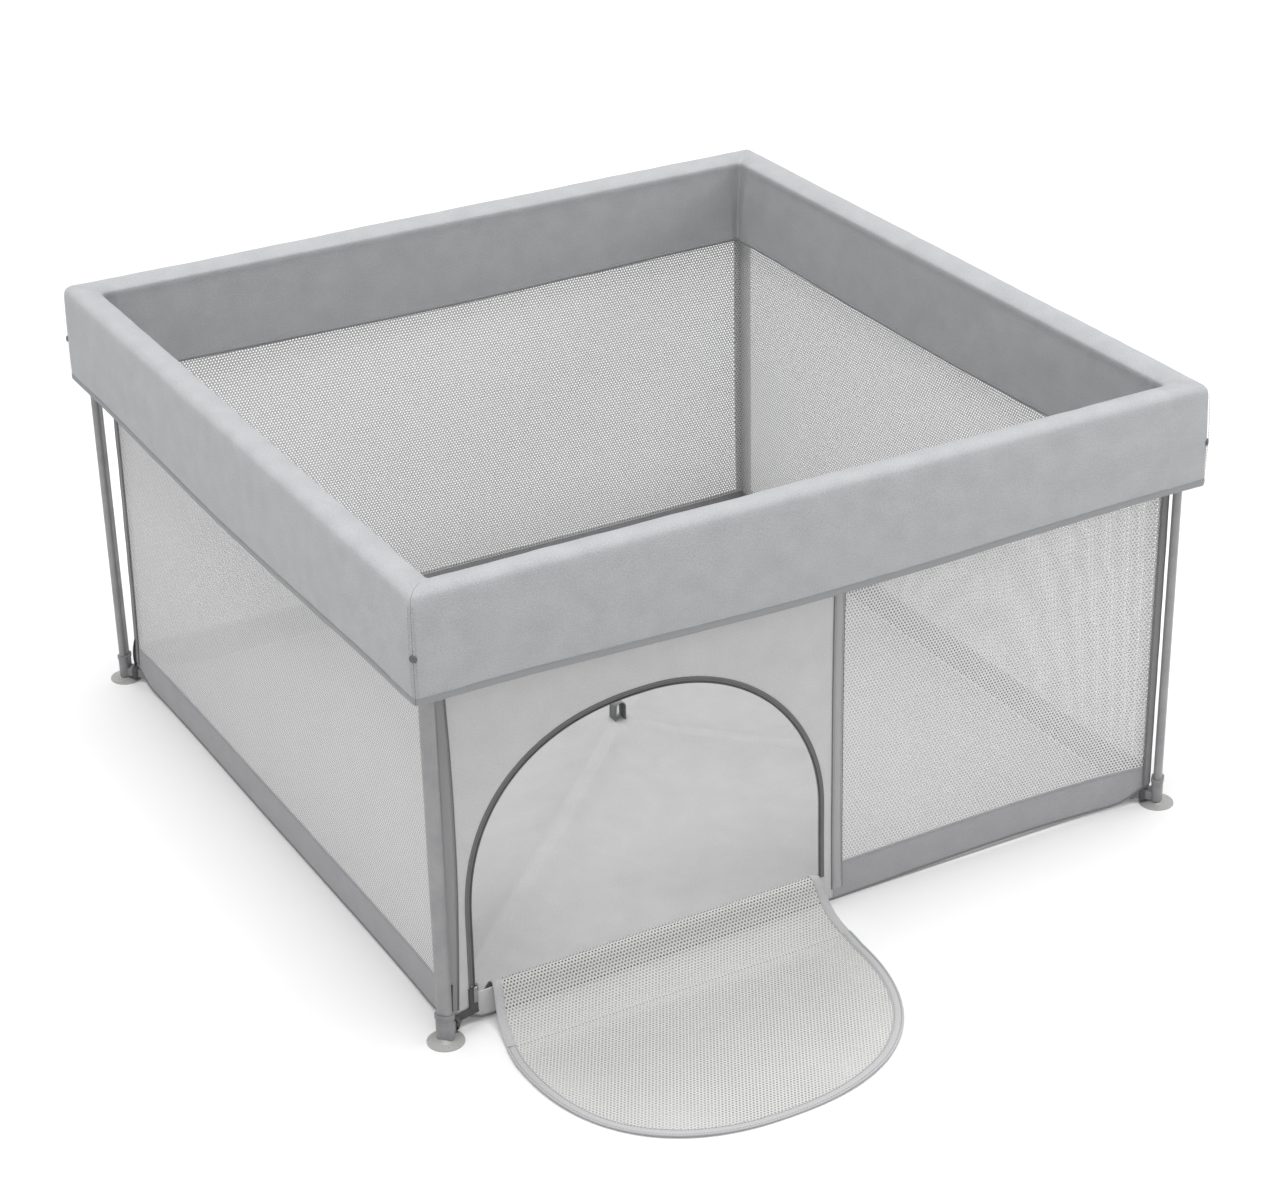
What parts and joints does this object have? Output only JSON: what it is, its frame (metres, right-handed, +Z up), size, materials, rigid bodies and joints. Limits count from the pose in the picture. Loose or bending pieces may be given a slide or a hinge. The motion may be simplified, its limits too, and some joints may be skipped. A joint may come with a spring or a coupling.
{
  "type": "playpen",
  "caption": "Square folding playpen with oval steel posts, padded fabric top cover, mesh walls, fabric floor, zipped arch door and suction feet.",
  "frame": {"origin": "on the floor under the middle of the hub, which is the middle of the square pen", "axes": "+Z up; -Y towards the front wall with the door, +X to the right as seen from the front"},
  "size_m": [1.2, 1.532, 0.66],
  "materials": {
    "post_metal": "satin",
    "rail_metal": "satin",
    "arm_metal": "satin",
    "foot_plastic": "matte",
    "bracket_plastic": "matte",
    "hub_plastic": "matte",
    "suction_cup": "satin",
    "pin_steel": "satin",
    "button_plastic": "satin",
    "cover_fabric": "matte",
    "wall_fabric": "matte",
    "floor_fabric": "matte",
    "flap_mesh": "matte",
    "webbing": "matte",
    "zip_tape": "matte",
    "zip_metal": "satin"
  },
  "bodies": {
    "post_front_left": {"post_tube_front_left": "post_metal", "foot_bracket_front_left": "foot_plastic", "suction_foot_front_left": "suction_cup", "corner_bracket_front_left": "bracket_plastic", "cover_corner_front_left": "cover_fabric", "wall_front_left": "wall_fabric", "zip_track": "zip_tape"},
    "arm_front_left": {"arm_front_left": "arm_metal", "floor_front_left": "floor_fabric"},
    "post_front_right": {"post_tube_front_right": "post_metal", "foot_bracket_front_right": "foot_plastic", "suction_foot_front_right": "suction_cup", "corner_bracket_front_right": "bracket_plastic", "cover_corner_front_right": "cover_fabric", "wall_front_right": "wall_fabric"},
    "arm_front_right": {"arm_front_right": "arm_metal", "floor_front_right": "floor_fabric"},
    "post_back_right": {"post_tube_back_right": "post_metal", "foot_bracket_back_right": "foot_plastic", "suction_foot_back_right": "suction_cup", "corner_bracket_back_right": "bracket_plastic", "cover_corner_back_right": "cover_fabric", "wall_back_right": "wall_fabric"},
    "arm_back_right": {"arm_back_right": "arm_metal", "floor_back_right": "floor_fabric"},
    "post_back_left": {"post_tube_back_left": "post_metal", "foot_bracket_back_left": "foot_plastic", "suction_foot_back_left": "suction_cup", "corner_bracket_back_left": "bracket_plastic", "cover_corner_back_left": "cover_fabric", "wall_back_left": "wall_fabric"},
    "arm_back_left": {"arm_back_left": "arm_metal", "floor_back_left": "floor_fabric"},
    "hub": {"hub_body": "hub_plastic", "hub_pins": "pin_steel", "lift_loop": "webbing"},
    "rail_front_left": {"rail_front_left": "rail_metal", "cover_front_left": "cover_fabric"},
    "rail_front_right": {"rail_front_right": "rail_metal", "cover_front_right": "cover_fabric"},
    "button_front": {"latch_button_front": "button_plastic"},
    "rail_right_front": {"rail_right_front": "rail_metal", "cover_right_front": "cover_fabric"},
    "rail_right_back": {"rail_right_back": "rail_metal", "cover_right_back": "cover_fabric"},
    "button_right": {"latch_button_right": "button_plastic"},
    "rail_back_right": {"rail_back_right": "rail_metal", "cover_back_right": "cover_fabric"},
    "rail_back_left": {"rail_back_left": "rail_metal", "cover_back_left": "cover_fabric"},
    "button_back": {"latch_button_back": "button_plastic"},
    "rail_left_back": {"rail_left_back": "rail_metal", "cover_left_back": "cover_fabric"},
    "rail_left_front": {"rail_left_front": "rail_metal", "cover_left_front": "cover_fabric"},
    "button_left": {"latch_button_left": "button_plastic"},
    "door": {"door_flap": "flap_mesh"},
    "zip_slider": {"zip_slider": "zip_metal"},
    "zip_pull": {"zip_pull": "zip_metal"}
  },
  "joints": [
    {"name": "frame_fold", "type": "hinge", "parent": "post_front_left", "child": "arm_front_left", "pos_m": [-0.54925, -0.54925, 0.013], "axis": [0.7071, -0.7071, 0], "range_deg": [0, 85], "deforming": ["wall_front_left", "wall_front_right", "wall_back_right", "wall_back_left", "floor_front_left", "floor_front_right", "floor_back_right", "floor_back_left", "cover_front_left", "cover_front_right", "cover_right_front", "cover_right_back", "cover_back_right", "cover_back_left", "cover_left_back", "cover_left_front", "door_flap", "zip_track"]},
    {"name": "hub_level", "type": "hinge", "parent": "arm_front_left", "child": "hub", "pos_m": [-0.01768, -0.01768, 0.013], "axis": [-0.7071, 0.7071, 0], "range_deg": [0, 85]},
    {"name": "arm_front_right_fold", "type": "hinge", "parent": "hub", "child": "arm_front_right", "pos_m": [0.01768, -0.01768, 0.013], "axis": [0.7071, 0.7071, 0], "range_deg": [0, 85]},
    {"name": "post_front_right_level", "type": "hinge", "parent": "arm_front_right", "child": "post_front_right", "pos_m": [0.54925, -0.54925, 0.013], "axis": [-0.7071, -0.7071, 0], "range_deg": [0, 85]},
    {"name": "arm_back_right_fold", "type": "hinge", "parent": "hub", "child": "arm_back_right", "pos_m": [0.01768, 0.01768, 0.013], "axis": [-0.7071, 0.7071, 0], "range_deg": [0, 85]},
    {"name": "post_back_right_level", "type": "hinge", "parent": "arm_back_right", "child": "post_back_right", "pos_m": [0.54925, 0.54925, 0.013], "axis": [0.7071, -0.7071, 0], "range_deg": [0, 85]},
    {"name": "arm_back_left_fold", "type": "hinge", "parent": "hub", "child": "arm_back_left", "pos_m": [-0.01768, 0.01768, 0.013], "axis": [-0.7071, -0.7071, 0], "range_deg": [0, 85]},
    {"name": "post_back_left_level", "type": "hinge", "parent": "arm_back_left", "child": "post_back_left", "pos_m": [-0.54925, 0.54925, 0.013], "axis": [0.7071, 0.7071, 0], "range_deg": [0, 85]},
    {"name": "rail_front_left_fold", "type": "hinge", "parent": "post_front_left", "child": "rail_front_left", "pos_m": [-0.53157, -0.574, 0.638], "axis": [0, 1, 0], "range_deg": [0, 85]},
    {"name": "rail_front_right_fold", "type": "hinge", "parent": "post_front_right", "child": "rail_front_right", "pos_m": [0.53157, -0.574, 0.638], "axis": [0, -1, 0], "range_deg": [0, 85]},
    {"name": "rail_right_front_fold", "type": "hinge", "parent": "post_front_right", "child": "rail_right_front", "pos_m": [0.574, -0.53157, 0.638], "axis": [-1, 0, 0], "range_deg": [0, 85]},
    {"name": "rail_right_back_fold", "type": "hinge", "parent": "post_back_right", "child": "rail_right_back", "pos_m": [0.574, 0.53157, 0.638], "axis": [1, 0, 0], "range_deg": [0, 85]},
    {"name": "rail_back_right_fold", "type": "hinge", "parent": "post_back_right", "child": "rail_back_right", "pos_m": [0.53157, 0.574, 0.638], "axis": [0, -1, 0], "range_deg": [0, 85]},
    {"name": "rail_back_left_fold", "type": "hinge", "parent": "post_back_left", "child": "rail_back_left", "pos_m": [-0.53157, 0.574, 0.638], "axis": [0, 1, 0], "range_deg": [0, 85]},
    {"name": "rail_left_back_fold", "type": "hinge", "parent": "post_back_left", "child": "rail_left_back", "pos_m": [-0.574, 0.53157, 0.638], "axis": [1, 0, 0], "range_deg": [0, 85]},
    {"name": "rail_left_front_fold", "type": "hinge", "parent": "post_front_left", "child": "rail_left_front", "pos_m": [-0.574, -0.53157, 0.638], "axis": [-1, 0, 0], "range_deg": [0, 85]},
    {"name": "latch_press_front", "type": "slide", "parent": "rail_front_left", "child": "button_front", "axis": [0, 0, 1], "range_m": [0, 0.004], "stiffness_N_per_m": 300},
    {"name": "latch_press_right", "type": "slide", "parent": "rail_right_front", "child": "button_right", "axis": [0, 0, 1], "range_m": [0, 0.004], "stiffness_N_per_m": 300},
    {"name": "latch_press_back", "type": "slide", "parent": "rail_back_right", "child": "button_back", "axis": [0, 0, 1], "range_m": [0, 0.004], "stiffness_N_per_m": 300},
    {"name": "latch_press_left", "type": "slide", "parent": "rail_left_back", "child": "button_left", "axis": [0, 0, 1], "range_m": [0, 0.004], "stiffness_N_per_m": 300},
    {"name": "door_turn", "type": "hinge", "parent": "post_front_left", "child": "door", "pos_m": [-0.253, -0.532, 0.022], "axis": [-1, 0, 0], "range_deg": [0, 90]},
    {"name": "zip_slide", "type": "slide", "parent": "post_front_left", "child": "zip_slider", "axis": [0, 0, 1], "range_m": [0, 0.1]},
    {"name": "zip_pull_turn", "type": "hinge", "parent": "zip_slider", "child": "zip_pull", "pos_m": [-0.522, -0.5606, 0.056], "axis": [-1, 0, 0], "range_deg": [0, 150]}
  ],
  "couplings": [
    {"joint": "hub_level", "follows": "frame_fold", "ratio": 1},
    {"joint": "arm_front_right_fold", "follows": "frame_fold", "ratio": 1},
    {"joint": "post_front_right_level", "follows": "frame_fold", "ratio": 1},
    {"joint": "arm_back_right_fold", "follows": "frame_fold", "ratio": 1},
    {"joint": "post_back_right_level", "follows": "frame_fold", "ratio": 1},
    {"joint": "arm_back_left_fold", "follows": "frame_fold", "ratio": 1},
    {"joint": "post_back_left_level", "follows": "frame_fold", "ratio": 1},
    {"joint": "rail_front_left_fold", "follows": "frame_fold", "ratio": 1},
    {"joint": "rail_front_right_fold", "follows": "frame_fold", "ratio": 1},
    {"joint": "rail_right_front_fold", "follows": "frame_fold", "ratio": 1},
    {"joint": "rail_right_back_fold", "follows": "frame_fold", "ratio": 1},
    {"joint": "rail_back_right_fold", "follows": "frame_fold", "ratio": 1},
    {"joint": "rail_back_left_fold", "follows": "frame_fold", "ratio": 1},
    {"joint": "rail_left_back_fold", "follows": "frame_fold", "ratio": 1},
    {"joint": "rail_left_front_fold", "follows": "frame_fold", "ratio": 1}
  ]
}
